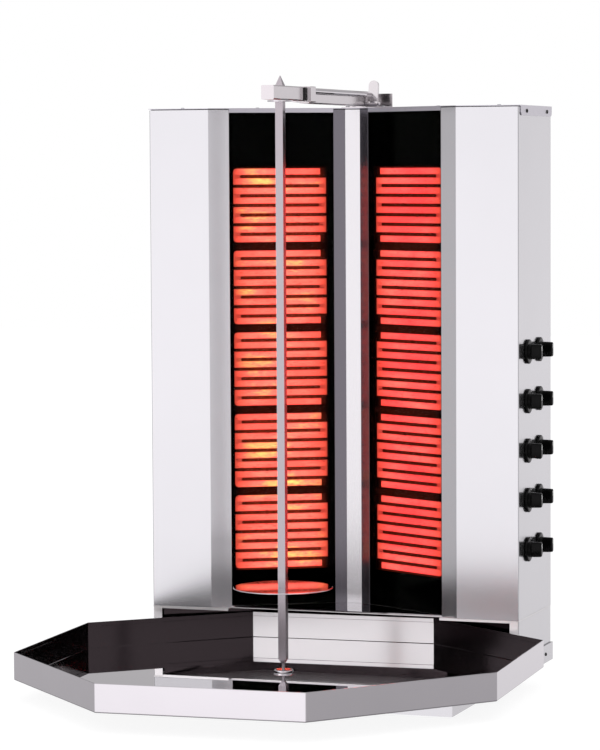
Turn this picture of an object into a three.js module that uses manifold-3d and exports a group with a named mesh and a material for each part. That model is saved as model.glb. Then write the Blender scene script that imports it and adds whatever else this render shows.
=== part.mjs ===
// Free-standing electric grill with a vertical spit: a cabinet with a V-shaped front of two heated
// glass panels, a driven spit that stands in front of it, a top arm, an octagonal drip tray and a
// low plinth that hides the drive.
// Millimetres. The origin is where the spit's axis meets the bench. +X is the knob side, +Y the
// back, +Z up.
import * as THREE from "three";
import { mergeVertices } from "three/addons/utils/BufferGeometryUtils.js";
import Module from "manifold-3d";

const wasm = await Module();
wasm.setup();

// ---------------------------------------------------------------- driving sizes

const GAP = 0.3; // between pieces that touch
const SHEET = 1.5; // stainless sheet

// Plinth and base
const PLINTH_HEIGHT = 35;
const PLINTH_FRONT = 175; // from the spit axis forward
const PLINTH_OVERHANG = 3.5; // past the cabinet's sides and back
const BASE_HEIGHT = 110; // bench to the wings' lower edge
const BASE_STRIP = 19; // front strips of the base sides
const FRONT_BAR = 5; // turned-down edge of the deck

// Cabinet
const CABINET_WIDTH = 765;
const CABINET_DEPTH = 241;
const CABINET_FRONT = 290; // from the spit axis back to the wings' front faces
const CABINET_HEIGHT = 1000; // wings' lower edge to the lid's top
const WING_FACE = 126; // width of a wing's front face
const V_ANGLE = 30; // each glass panel's turn from the front, degrees
const TRIM = 42; // a wing's slanted trim, along the panel
const POST_FLAT = 31; // flat front of the centre post
const POST_FACET = 24; // each slanted side of the post
const LID_LIP = 9; // lid's edge above the glass
const LID_SKIRT = 20; // lid's turned-down sides

// Glass and elements
const GLASS_THICKNESS = 4;
const GLASS_COVERED = 10; // behind a trim or the post, each side
const ELEMENT_ROWS = 5;
const ELEMENT_TOP_MARGIN = 120; // lid's top to the highest element
const ELEMENT_BOTTOM_MARGIN = 76.5; // wings' lower edge to the lowest element
const ELEMENT_SPACE = 16.5; // between two elements
const ELEMENT_POST_MARGIN = 14; // visible glass between the post and the elements
const ELEMENT_TRIM_MARGIN = 10;
const ELEMENT_BARS = 8;
const BAR_WIDTH = 13;
const TERMINAL_SETBACK = 12; // the first and last bars start further from the post
const RIBBON_THICKNESS = 2;
const HEATER_TRAY_DEPTH = 28;

// Knobs
const KNOB_ROWS = 5;
const KNOB_PITCH = 97;
const KNOB_LOWEST = 243;
const KNOB_COLUMNS = [65, 149]; // behind the wings' front faces
const SKIRT_RADIUS = 24;
const SKIRT_THICKNESS = 5;
const GRIP_HEIGHT = 30;
const GRIP_WIDTH = 12;
const KNOB_DEPTH = 29; // from the wing to the grip's end
const KNOB_SHAFT_RADIUS = 3;

// Spit, disc and drive
const SPIT_SIDE = 15;
const SPIT_POINT = 19; // height of the pyramid at the top
const SPIT_PIN_RADIUS = 3;
const SPIT_PIN_LENGTH = 10; // round pin above the socket
const SPIT_TAPER = 10;
const DISC_RADIUS = 94.5;
const DISC_HEIGHT = 197; // underside of the disc
const DISC_THICKNESS = 2;
const SOCKET_RADIUS = 18.5;
const SOCKET_TOP = 42;
const SHAFT_RADIUS = 8;
const SPIT_PULLEY_RADIUS = 50; // bottom of the groove
const MOTOR_PULLEY_RADIUS = 20;
const MOTOR_SETBACK = 51; // of its axis, ahead of the cabinet's back
const BELT_THICKNESS = 4;
const BELT_HEIGHT = 10;
const BELT_BOTTOM = 13;

// Tray
const TRAY_OVERHANG = 81.5; // past each side of the cabinet
const TRAY_TURN = 2.8; // degrees; the loose tray stands a little askew on its plinth
const TRAY_FRONT = 508;
const TRAY_BACK_SETBACK = 116; // of its rear wall, ahead of the cabinet's back
const TRAY_SIDE_FRONT = 211; // front end of the straight side, forward of the spit
const TRAY_SIDE_SETBACK = 105; // of the straight side's rear end, ahead of the wings
const TRAY_FRONT_HALF = 194; // half of the front wall
const TRAY_REAR_INSET = 192.5; // of the rear wall's ends, inside the cabinet's sides
const SPLASH_GAP = 3.2; // from the turned tray's rearmost corner to the splash wall
const SPLASH_MARGIN = 6; // of the splash wall's straight part, past the tray's rear wall
const TRAY_WALL = 2;
const TRAY_HEIGHT = 53;

// Top arm
const SPIT_CLEARANCE = 0.6; // between the spit's edges and the head's bore
const HEAD_WALL = 1.3; // beside the bore
const HEAD_HEIGHT = 27;
const HEAD_STEP = 4; // of the head's underside, over the arm's
const HEAD_FRONT = 70; // forward of the spit axis
const HEAD_REAR = 93;
const BUFFER_LENGTH = 13;
const CLAMP_LENGTH = 29;
const CLAMP_REACH = 1.5; // past the head's left side
const GUIDE_RIM = 12.8; // of the guide plate, around the bore
const ARM_WIDTH = 20;
const ARM_CLEARANCE = 4; // under the arm, over the lid
const ARM_HEIGHT = 30;
const ARM_PIVOT_SETBACK = 14; // of the hinge, ahead of the cabinet's back
const ARM_PIN_RADIUS = 4;
const BRACKET_HALF_WIDTH = 50;
const BRACKET_HEIGHT = 30; // over the lid
const ROD_RADIUS = 4.5;
const ROD_HEIGHT = 23; // of its axis, over the arm's underside
const LEVER_HEIGHT = 50;
const LEVER_WIDTH = 20;
const LEVER_THICKNESS = 7;
const LEVER_TILT = 8; // degrees, towards the back

// ---------------------------------------------------------------- sizes that follow

const halfWidth = CABINET_WIDTH / 2;
const cabinetBack = CABINET_FRONT + CABINET_DEPTH;
const lidTop = BASE_HEIGHT + CABINET_HEIGHT;
const wingTop = lidTop - SHEET - GAP;
const deckTop = BASE_HEIGHT - GAP;
const deckBottom = deckTop - SHEET;
const baseBottom = PLINTH_HEIGHT + GAP;
const baseTop = deckBottom - GAP;
const vAngle = THREE.MathUtils.degToRad(V_ANGLE);
const faceInner = halfWidth - WING_FACE; // where a front face turns into its trim
const apexDepth = CABINET_FRONT + faceInner * Math.tan(vAngle); // where the two panel planes meet
const trimOuter = faceInner / Math.cos(vAngle); // distances from the apex along a panel
const trimInner = trimOuter - TRIM;
const postFlatEdge = POST_FLAT / 2 / Math.cos(vAngle);
const postEdge = postFlatEdge + POST_FACET;
const glassFront = SHEET + GAP; // depth behind the panel plane
const glassBack = glassFront + GLASS_THICKNESS;
const ribbonFront = glassBack + 4;
const ribbonBack = ribbonFront + RIBBON_THICKNESS;
const elementsHeight = CABINET_HEIGHT - ELEMENT_TOP_MARGIN - ELEMENT_BOTTOM_MARGIN;
const elementPitch = (elementsHeight + ELEMENT_SPACE) / ELEMENT_ROWS;
const elementHeight = elementPitch - ELEMENT_SPACE;
const elementNear = postEdge + ELEMENT_POST_MARGIN; // distances from the apex along a panel
const elementFar = trimInner - ELEMENT_TRIM_MARGIN;
const barPitch = (elementHeight - BAR_WIDTH) / (ELEMENT_BARS - 1);
const trayBottom = PLINTH_HEIGHT + GAP;
const trayRear = cabinetBack - TRAY_BACK_SETBACK;
const trayRearHalf = halfWidth - TRAY_REAR_INSET;
const trayTurn = THREE.MathUtils.degToRad(TRAY_TURN);
const trayRearmost = trayRear * Math.cos(trayTurn) + trayRearHalf * Math.sin(trayTurn);
const splashFront = trayRearmost + SPLASH_GAP;
const motorAxis = cabinetBack - MOTOR_SETBACK;
const motorTop = baseTop - 8;
const armBottom = lidTop + ARM_CLEARANCE;
const headBottom = armBottom + HEAD_STEP;
const headTop = headBottom + HEAD_HEIGHT;
const spitBoreRadius = SPIT_SIDE * Math.SQRT1_2 + SPIT_CLEARANCE;

// ---------------------------------------------------------------- geometry helpers

const black = finish(0x111111, 0.4, 0);
const brushed = finish(0xd8d8da, 0.3, 1);
const polished = finish(0xe4e4e6, 0.12, 1);
const galvanised = finish(0x9a9ca0, 0.5, 0.9);

function finish(color, roughness, metalness) {
  return new THREE.MeshStandardMaterial({ color, roughness, metalness });
}

function outline(points) {
  return new THREE.Shape(points.map(([x, y]) => new THREE.Vector2(x, y)));
}

// A rectangle with round corners.
function roundedRectangle(x0, x1, y0, y1, radius) {
  const shape = new THREE.Shape();
  shape.absarc(x1 - radius, y0 + radius, radius, -Math.PI / 2, 0);
  shape.absarc(x1 - radius, y1 - radius, radius, 0, Math.PI / 2);
  shape.absarc(x0 + radius, y1 - radius, radius, Math.PI / 2, Math.PI);
  shape.absarc(x0 + radius, y0 + radius, radius, Math.PI, Math.PI * 1.5);
  return shape;
}

function extrude(shape, depth, curveSegments) {
  return new THREE.ExtrudeGeometry(shape, { depth, bevelEnabled: false, curveSegments });
}

// The shape's (x, y) lie in plan, and it rises from z0 to z1.
function alongZ(shape, z0, z1, curveSegments = 6) {
  return extrude(shape, z1 - z0, curveSegments).translate(0, 0, z0);
}

// The shape's (x, y) are the part's (y, z), and it runs from x0 to x1.
function alongX(shape, x0, x1, curveSegments = 6) {
  const turn = new THREE.Matrix4().set(0, 0, 1, x0, 1, 0, 0, 0, 0, 1, 0, 0, 0, 0, 0, 1);
  return extrude(shape, x1 - x0, curveSegments).applyMatrix4(turn);
}

// The shape's (x, y) are the part's (z, x), and it runs from y0 to y1.
function alongY(shape, y0, y1, curveSegments = 6) {
  const turn = new THREE.Matrix4().set(0, 1, 0, 0, 0, 0, 1, y0, 1, 0, 0, 0, 0, 0, 0, 1);
  return extrude(shape, y1 - y0, curveSegments).applyMatrix4(turn);
}

function box(x0, x1, y0, y1, z0, z1) {
  const geometry = new THREE.BoxGeometry(x1 - x0, y1 - y0, z1 - z0);
  return geometry.translate((x0 + x1) / 2, (y0 + y1) / 2, (z0 + z1) / 2);
}

function rod(radius, length, axis, segments = 24) {
  const geometry = new THREE.CylinderGeometry(radius, radius, length, segments);
  if (axis === "x") geometry.rotateZ(-Math.PI / 2);
  if (axis === "z") geometry.rotateX(Math.PI / 2);
  return geometry;
}

// A turned piece about the Z axis from [radius, z] pairs, given from the bottom outwards and up.
function turned(profile, segments = 40) {
  const points = profile.map(([radius, z]) => new THREE.Vector2(radius, z));
  return new THREE.LatheGeometry(points, segments).rotateX(Math.PI / 2);
}

function solid(geometry) {
  const bare = geometry.index ? geometry.toNonIndexed() : geometry.clone();
  bare.deleteAttribute("normal");
  bare.deleteAttribute("uv");
  const merged = mergeVertices(bare, 1e-3);
  const corners = [];
  for (let i = 0; i < merged.index.count; i += 3) {
    const [a, b, c] = [0, 1, 2].map((k) => merged.index.getX(i + k));
    if (a !== b && b !== c && c !== a) corners.push(a, b, c);
  }
  const vertProperties = new Float32Array(merged.attributes.position.array);
  const triVerts = new Uint32Array(corners);
  return new wasm.Manifold(new wasm.Mesh({ numProp: 3, vertProperties, triVerts }));
}

function geometryOf(manifold) {
  const { vertProperties, triVerts } = manifold.getMesh();
  const geometry = new THREE.BufferGeometry();
  geometry.setAttribute("position", new THREE.BufferAttribute(vertProperties, 3));
  geometry.setIndex(new THREE.BufferAttribute(triVerts, 1));
  return geometry;
}

function joined(...geometries) {
  return geometryOf(geometries.map(solid).reduce((whole, next) => whole.add(next)));
}

function cut(geometry, ...tools) {
  return geometryOf(tools.map(solid).reduce((rest, tool) => rest.subtract(tool), solid(geometry)));
}

// The closed outline of a bent sheet: the path is its outer face, and the thickness lies to the
// left of the path's direction.
function sheetOutline(path, thickness) {
  const directions = path.slice(1).map((point, i) => {
    const dx = point[0] - path[i][0];
    const dy = point[1] - path[i][1];
    const length = Math.hypot(dx, dy);
    return [dx / length, dy / length];
  });
  const inner = path.map((point, i) => {
    const before = directions[Math.max(i - 1, 0)];
    const after = directions[Math.min(i, directions.length - 1)];
    const nx = -(before[1] + after[1]) / 2;
    const ny = (before[0] + after[0]) / 2;
    const stretch = thickness / (nx * nx + ny * ny);
    return [point[0] + nx * stretch, point[1] + ny * stretch];
  });
  return outline([...path, ...inner.reverse()]);
}

const model = new THREE.Group();

function add(name, geometry, material, parent = model) {
  const mesh = new THREE.Mesh(geometry, material);
  mesh.name = name;
  parent.add(mesh);
  return mesh;
}

const sides = [
  { label: "left", sign: -1 },
  { label: "right", sign: 1 },
];

// A frame on each panel: x runs along the panel from the V's apex, y goes in behind it.
const panels = sides.map(({ label, sign }) => {
  const frame = new THREE.Group();
  frame.position.set(0, apexDepth, 0);
  frame.rotation.z = -sign * vAngle;
  model.add(frame);
  return { label, sign, frame };
});

// A box in a panel's frame, from its distances along the panel.
function panelBox(sign, near, far, y0, y1, z0, z1) {
  return box(Math.min(sign * near, sign * far), Math.max(sign * near, sign * far), y0, y1, z0, z1);
}

// The same box in the part's frame.
function panelBoxInPlace(sign, ...sizes) {
  return panelBox(sign, ...sizes).rotateZ(-sign * vAngle).translate(0, apexDepth, 0);
}

// A point of a panel's plane, in plan.
function panelPoint(sign, distance) {
  return [sign * distance * Math.cos(vAngle), apexDepth - distance * Math.sin(vAngle)];
}

// ---------------------------------------------------------------- plinth and drive

const plinthHalf = halfWidth + PLINTH_OVERHANG;
const plinthRear = cabinetBack + PLINTH_OVERHANG;
const shaftHoleRadius = SOCKET_RADIUS + 1;

function plinth() {
  const skin = box(-plinthHalf, plinthHalf, -PLINTH_FRONT, plinthRear, 0, PLINTH_HEIGHT);
  const hollow = box(
    -plinthHalf + SHEET,
    plinthHalf - SHEET,
    -PLINTH_FRONT + SHEET,
    plinthRear - SHEET,
    -1,
    PLINTH_HEIGHT - SHEET,
  );
  const spitHole = rod(shaftHoleRadius, 10, "z", 32).translate(0, 0, PLINTH_HEIGHT);
  const motorHole = rod(shaftHoleRadius, 10, "z", 32).translate(0, motorAxis, PLINTH_HEIGHT);
  return cut(skin, hollow, spitHole, motorHole);
}

const plinthInset = SHEET + GAP;
add("plinth_cover", plinth(), brushed);
add(
  "plinth_bottom",
  box(
    -plinthHalf + plinthInset,
    plinthHalf - plinthInset,
    -PLINTH_FRONT + plinthInset,
    plinthRear - plinthInset,
    0,
    SHEET,
  ),
  galvanised,
);

const bearingBottom = SHEET + GAP;
const bearingTop = bearingBottom + 7;
const shaftBottom = bearingBottom + 3;
const socketBottom = PLINTH_HEIGHT - 2;
const pinSeat = SOCKET_TOP - 6; // bottom of the socket's blind hole

const bearing = turned([
  [0, bearingBottom],
  [26, bearingBottom],
  [26, bearingTop - 1],
  [25, bearingTop],
  [SHAFT_RADIUS + GAP, bearingTop],
  [SHAFT_RADIUS + GAP, shaftBottom - GAP],
  [0, shaftBottom - GAP],
]);
add("spit_bearing", bearing, galvanised);

const shaft = rod(SHAFT_RADIUS, socketBottom - GAP - shaftBottom, "z", 32);
add("drive_shaft", shaft, galvanised).position.z = (socketBottom - GAP + shaftBottom) / 2;

const socketProfile = [
  [0, socketBottom],
  [SOCKET_RADIUS - 1, socketBottom],
  [SOCKET_RADIUS, socketBottom + 1],
  [SOCKET_RADIUS, SOCKET_TOP - 1.5],
  [SOCKET_RADIUS - 1.5, SOCKET_TOP],
  [SOCKET_RADIUS - 4, SOCKET_TOP - 0.4],
  [SPIT_PIN_RADIUS + 5, SOCKET_TOP - 2.2],
  [SPIT_PIN_RADIUS + GAP, SOCKET_TOP - 2.2],
  [SPIT_PIN_RADIUS + GAP, pinSeat],
  [0, pinSeat],
];
add("spit_socket", turned(socketProfile, 32), polished);

// A pulley with a flat groove for the belt, hollow for a shaft where bore is not zero.
function pulleyProfile(grooveRadius, boreRadius) {
  const flange = grooveRadius + BELT_THICKNESS + 2;
  const low = BELT_BOTTOM - 1;
  const high = BELT_BOTTOM + BELT_HEIGHT + 1;
  return [
    [boreRadius, low - 2],
    [flange, low - 2],
    [flange, low],
    [grooveRadius, low],
    [grooveRadius, high],
    [flange, high],
    [flange, high + 2],
    [boreRadius, high + 2],
  ];
}

const spitPulley = pulleyProfile(SPIT_PULLEY_RADIUS, SHAFT_RADIUS + GAP);
add("spit_pulley", turned([...spitPulley, spitPulley[0]], 40), galvanised);

const motorShaftRadius = 6;
const motorBottom = PLINTH_HEIGHT + GAP;
const motorShaftTop = motorBottom + 12;
const motorShaftLength = motorShaftTop - BELT_BOTTOM;
const motorPulley = joined(
  turned(pulleyProfile(MOTOR_PULLEY_RADIUS, 0), 24),
  rod(motorShaftRadius, motorShaftLength, "z", 16).translate(0, 0, motorShaftTop - motorShaftLength / 2),
);
add("motor_pulley", motorPulley, galvanised).position.y = motorAxis;

// The belt's inner or outer face as a loop round both pulleys.
function beltLoop(offset) {
  const front = SPIT_PULLEY_RADIUS + offset;
  const rear = MOTOR_PULLEY_RADIUS + offset;
  const lean = Math.asin((front - rear) / motorAxis);
  const loop = new THREE.Shape();
  loop.absarc(0, motorAxis, rear, lean, Math.PI - lean);
  loop.absarc(0, 0, front, Math.PI - lean, Math.PI * 2 + lean);
  return loop;
}
const belt = beltLoop(GAP + BELT_THICKNESS);
belt.holes.push(beltLoop(GAP));
add("drive_belt", alongZ(belt, BELT_BOTTOM, BELT_BOTTOM + BELT_HEIGHT, 20), black);

const motorHalf = 38;
const gearbox = box(-motorHalf, motorHalf, motorAxis - 34, motorAxis + 34, motorBottom, motorTop);
const motorBody = rod(26, 90, "x", 32).translate(motorHalf + 44, motorAxis, motorBottom + 30);
const motorBore = rod(motorShaftRadius + GAP, 26, "z", 16).translate(0, motorAxis, motorBottom);
add("gear_motor", cut(joined(gearbox, motorBody), motorBore), finish(0x2c3a4a, 0.5, 0.4));

// ---------------------------------------------------------------- base under the cabinet

for (const { label, sign } of sides) {
  const x = sign * halfWidth;
  const path = [
    [x - sign * BASE_STRIP, CABINET_FRONT + GAP],
    [x, CABINET_FRONT + GAP],
    [x, cabinetBack],
    [x - sign * BASE_STRIP, cabinetBack],
  ];
  if (sign < 0) path.reverse();
  add(`base_side_${label}`, alongZ(sheetOutline(path, SHEET), baseBottom, baseTop), brushed);
}

const baseRear = box(
  -halfWidth + BASE_STRIP + GAP,
  halfWidth - BASE_STRIP - GAP,
  cabinetBack - SHEET,
  cabinetBack,
  baseBottom,
  baseTop,
);
const glandX = -250;
const glandZ = (baseBottom + baseTop) / 2;
const glandRadius = 8;
const glandHole = rod(glandRadius + GAP, 10, "y").translate(glandX, cabinetBack, glandZ);
add("base_rear", cut(baseRear, glandHole), brushed);

const gland = joined(
  rod(glandRadius, 16, "y").translate(glandX, cabinetBack - 2, glandZ),
  rod(13, 8, "y", 6).translate(glandX, cabinetBack + GAP + 4, glandZ),
  rod(10, 8, "y").translate(glandX, cabinetBack + GAP + 11, glandZ),
);
const glandBore = rod(4.5, 40, "y").translate(glandX, cabinetBack, glandZ);
add("cable_gland", cut(gland, glandBore), black);

const terminalBlock = joined(
  box(glandX - 40, glandX + 40, cabinetBack - 50, cabinetBack - 22, baseBottom, baseBottom + 22),
  box(glandX - 36, glandX + 36, cabinetBack - 44, cabinetBack - 28, baseBottom + 20, baseBottom + 30),
);
add("terminal_block", terminalBlock, finish(0xd9d4c4, 0.6, 0));

// Inner wall behind the tray, which keeps fat away from the motor.
const splashPath = [
  [-(halfWidth - BASE_STRIP - 2), CABINET_FRONT + SHEET + 4],
  [-(trayRearHalf + SPLASH_MARGIN), splashFront],
  [trayRearHalf + SPLASH_MARGIN, splashFront],
  [halfWidth - BASE_STRIP - 2, CABINET_FRONT + SHEET + 4],
];
add("splash_wall", alongZ(sheetOutline(splashPath, SHEET), baseBottom, baseTop), brushed);

// ---------------------------------------------------------------- cabinet

const ledgeFront = panelPoint(1, trimInner)[1] - 1; // just ahead of the trims' inner edges
const deckNotch = panelPoint(1, trimInner)[0] + 1;

function deck() {
  const plan = outline([
    [-halfWidth, CABINET_FRONT],
    [-deckNotch, CABINET_FRONT],
    [-deckNotch, ledgeFront],
    [deckNotch, ledgeFront],
    [deckNotch, CABINET_FRONT],
    [halfWidth, CABINET_FRONT],
    [halfWidth, cabinetBack],
    [-halfWidth, cabinetBack],
  ]);
  const bars = sides.map(({ sign }) => {
    const inner = sign * deckNotch;
    const outer = sign * (halfWidth - BASE_STRIP - GAP);
    return box(
      Math.min(inner, outer),
      Math.max(inner, outer),
      CABINET_FRONT,
      CABINET_FRONT + SHEET,
      deckTop - FRONT_BAR,
      deckTop - 0.1,
    );
  });
  return joined(alongZ(plan, deckBottom, deckTop), ...bars);
}
add("cabinet_deck", deck(), brushed);

// The ledge closes the foot of the V in front of the glass.
const ledgeSetback = GAP * 2;
const ledgeHalf = (apexDepth - ledgeFront) / Math.tan(vAngle) - ledgeSetback / Math.sin(vAngle);
const ledgeTip = postFlatEdge * Math.cos(vAngle);
const ledgeTipDepth = apexDepth - ledgeTip * Math.tan(vAngle) - ledgeSetback / Math.cos(vAngle);
const ledgePlan = outline([
  [-ledgeHalf, ledgeFront],
  [ledgeHalf, ledgeFront],
  [ledgeTip, ledgeTipDepth],
  [-ledgeTip, ledgeTipDepth],
]);
add("v_ledge", alongZ(ledgePlan, BASE_HEIGHT, BASE_HEIGHT + 2), polished);

function knobPlaces() {
  const places = [];
  for (let row = 0; row < KNOB_ROWS; row++) {
    for (const [column, setback] of KNOB_COLUMNS.entries()) {
      const z = KNOB_LOWEST + row * KNOB_PITCH;
      places.push({ row, column, y: CABINET_FRONT + setback, z });
    }
  }
  return places;
}

for (const { label, sign } of sides) {
  const path = [
    panelPoint(sign, trimInner),
    panelPoint(sign, trimOuter),
    [sign * halfWidth, CABINET_FRONT],
    [sign * halfWidth, cabinetBack],
  ];
  if (sign < 0) path.reverse();
  let wing = alongZ(sheetOutline(path, SHEET), BASE_HEIGHT, wingTop);
  if (sign > 0) {
    const holes = knobPlaces().map(({ y, z }) =>
      rod(KNOB_SHAFT_RADIUS + 1.5, 10, "x", 12).translate(halfWidth, y, z),
    );
    wing = cut(wing, ...holes);
  }
  add(`wing_${label}`, wing, brushed);
}

// Rear panel between the wings, with two rows of air slots.
const rearHalf = halfWidth - SHEET - GAP;
const slotHalf = 4;
const slotLength = 60;
function rearPanel() {
  const slots = [];
  for (const z of [BASE_HEIGHT + 60, BASE_HEIGHT + 90, lidTop - 110, lidTop - 80]) {
    for (let i = -3; i <= 3; i++) {
      const x = i * (slotLength + 30);
      const slot = box(-slotLength / 2, slotLength / 2, -5, 5, -slotHalf, slotHalf);
      slots.push(slot.translate(x, cabinetBack, z));
    }
  }
  const sheet = box(-rearHalf, rearHalf, cabinetBack - SHEET, cabinetBack, BASE_HEIGHT, wingTop);
  return cut(sheet, ...slots);
}
add("rear_panel", rearPanel(), brushed);

const lidSideIn = halfWidth + GAP;
const lidSideOut = lidSideIn + SHEET;
const lidBack = cabinetBack + GAP + SHEET;
function lid() {
  const plan = outline([
    [-lidSideOut, CABINET_FRONT],
    panelPoint(-1, trimOuter),
    panelPoint(-1, postFlatEdge),
    panelPoint(1, postFlatEdge),
    panelPoint(1, trimOuter),
    [lidSideOut, CABINET_FRONT],
    [lidSideOut, lidBack],
    [-lidSideOut, lidBack],
  ]);
  const plate = alongZ(plan, lidTop - SHEET, lidTop);
  const lips = sides.map(({ sign }) =>
    panelBoxInPlace(sign, postEdge + GAP, trimInner - GAP, 0, SHEET, lidTop - LID_LIP, lidTop),
  );
  const round = 8;
  const skirt = new THREE.Shape();
  skirt.moveTo(CABINET_FRONT + 12, lidTop);
  skirt.lineTo(CABINET_FRONT + 12, lidTop - LID_SKIRT + round);
  skirt.absarc(CABINET_FRONT + 12 + round, lidTop - LID_SKIRT + round, round, Math.PI, Math.PI * 1.5);
  skirt.absarc(lidBack - round, lidTop - LID_SKIRT + round, round, Math.PI * 1.5, Math.PI * 2);
  skirt.lineTo(lidBack, lidTop);
  const skirts = [
    alongX(skirt, lidSideIn, lidSideOut),
    alongX(skirt, -lidSideOut, -lidSideIn),
    box(-lidSideOut, lidSideOut, lidBack - SHEET, lidBack, lidTop - LID_SKIRT / 2, lidTop),
  ];
  return joined(plate, ...lips, ...skirts);
}
add("cabinet_lid", lid(), brushed);

const postPath = [
  panelPoint(-1, postEdge),
  panelPoint(-1, postFlatEdge),
  panelPoint(1, postFlatEdge),
  panelPoint(1, postEdge),
];
add("centre_post", alongZ(sheetOutline(postPath, SHEET), BASE_HEIGHT, wingTop), brushed);

// ---------------------------------------------------------------- glass and elements

// One serpentine ribbon, centred on its own height: a plate with slots cut in from alternate
// ends. The first slot from the top opens towards the post.
function ribbonShape(sign) {
  const top = elementHeight / 2;
  const slotRadius = (barPitch - BAR_WIDTH) / 2;
  const corner = BAR_WIDTH / 2;
  const near = elementNear;
  const far = elementFar;
  const terminal = near + TERMINAL_SETBACK;
  const at = (x, y) => new THREE.Vector2(sign * x, y);
  const bend = (cx, cy, radius, from, to, steps) =>
    Array.from({ length: steps + 1 }, (_, i) => {
      const angle = from + ((to - from) * i) / steps;
      return at(cx + radius * Math.cos(angle), cy + radius * Math.sin(angle));
    });
  const quarter = Math.PI / 2;
  const nearSide = [];
  const farSide = [];
  for (let slot = 1; slot < ELEMENT_BARS; slot++) {
    const y = top - BAR_WIDTH / 2 - barPitch * (slot - 0.5);
    if (slot % 2) {
      const end = far - BAR_WIDTH - slotRadius;
      const above = slot === 1 ? terminal : near;
      const below = slot === ELEMENT_BARS - 1 ? terminal : near;
      nearSide.push(at(above, y + slotRadius), ...bend(end, y, slotRadius, quarter, -quarter, 4));
      nearSide.push(at(below, y - slotRadius));
    } else {
      const end = near + BAR_WIDTH + slotRadius;
      farSide.push(at(far, y + slotRadius), ...bend(end, y, slotRadius, quarter, quarter * 3, 4));
      farSide.push(at(far, y - slotRadius));
    }
  }
  const points = [
    at(terminal, top),
    ...nearSide,
    at(terminal, -top),
    ...bend(far - corner, -top + corner, corner, -quarter, 0, 2),
    ...farSide.reverse(),
    ...bend(far - corner, top - corner, corner, 0, quarter, 2),
  ];
  return new THREE.Shape(sign < 0 ? points.reverse() : points);
}

const glassNear = postEdge - GLASS_COVERED;
const glassFar = trimInner + GLASS_COVERED;
const glassBottom = BASE_HEIGHT + 2 + GAP;
const trayMargin = 6; // of the heater tray around the elements
const heaterBottom = BASE_HEIGHT + ELEMENT_BOTTOM_MARGIN - trayMargin;
const heaterTop = lidTop - ELEMENT_TOP_MARGIN + trayMargin;

for (const { label, sign, frame } of panels) {
  const glass = panelBox(sign, glassNear, glassFar, glassFront, glassBack, glassBottom, wingTop);
  add(`glass_${label}`, glass, finish(0x060607, 0.05, 0), frame);

  // A heater tray holds the elements in shallow pockets of its insulation.
  const near = elementNear - trayMargin;
  const far = elementFar + trayMargin;
  const trayFront = ribbonFront - 2;
  const slab = panelBox(
    sign,
    near,
    far,
    trayFront,
    ribbonBack + HEATER_TRAY_DEPTH,
    heaterBottom,
    heaterTop,
  );
  const pockets = [];
  for (let row = 0; row < ELEMENT_ROWS; row++) {
    const z = BASE_HEIGHT + ELEMENT_BOTTOM_MARGIN + elementHeight / 2 + row * elementPitch;
    const low = z - elementHeight / 2 - 2;
    const high = z + elementHeight / 2 + 2;
    const pocketNear = elementNear - 2;
    const pocketFar = elementFar + 2;
    pockets.push(panelBox(sign, pocketNear, pocketFar, trayFront - 1, ribbonBack + GAP, low, high));
    const ribbon = alongY(ribbonUpright(sign), ribbonFront, ribbonBack);
    add(`element_${label}_${row + 1}`, ribbon, finish(0xe0402a, 0.6, 0), frame).position.z = z;
  }
  add(`heater_tray_${label}`, cut(slab, ...pockets), finish(0x3a3634, 0.9, 0), frame);
}

// The ribbon's outline with its height first, as alongY takes it.
function ribbonUpright(sign) {
  const points = ribbonShape(sign).getPoints();
  return new THREE.Shape(points.map(({ x, y }) => new THREE.Vector2(y, x)).reverse());
}

// ---------------------------------------------------------------- knobs and regulators

const regulatorFront = halfWidth - SHEET - 3;
const regulatorDepth = 36;
const regulatorHalf = 20;
const shaftReach = 12; // of a knob's shaft into its regulator

function regulatorRail() {
  const places = knobPlaces();
  const ys = places.map(({ y }) => y);
  const zs = places.map(({ z }) => z);
  const margin = regulatorHalf + 6;
  const plate = box(
    regulatorFront - SHEET,
    regulatorFront,
    Math.min(...ys) - margin,
    Math.max(...ys) + margin,
    Math.min(...zs) - margin,
    Math.max(...zs) + margin,
  );
  const bodies = places.map(({ y, z }) =>
    box(
      regulatorFront - regulatorDepth,
      regulatorFront - SHEET / 2,
      y - regulatorHalf,
      y + regulatorHalf,
      z - regulatorHalf,
      z + regulatorHalf,
    ),
  );
  const bores = places.map(({ y, z }) =>
    rod(KNOB_SHAFT_RADIUS + GAP, (shaftReach + GAP) * 2, "x", 10).translate(regulatorFront, y, z),
  );
  return cut(joined(plate, ...bodies), ...bores);
}
add("regulator_rail", regulatorRail(), finish(0xb9b4a8, 0.6, 0.1));

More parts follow.
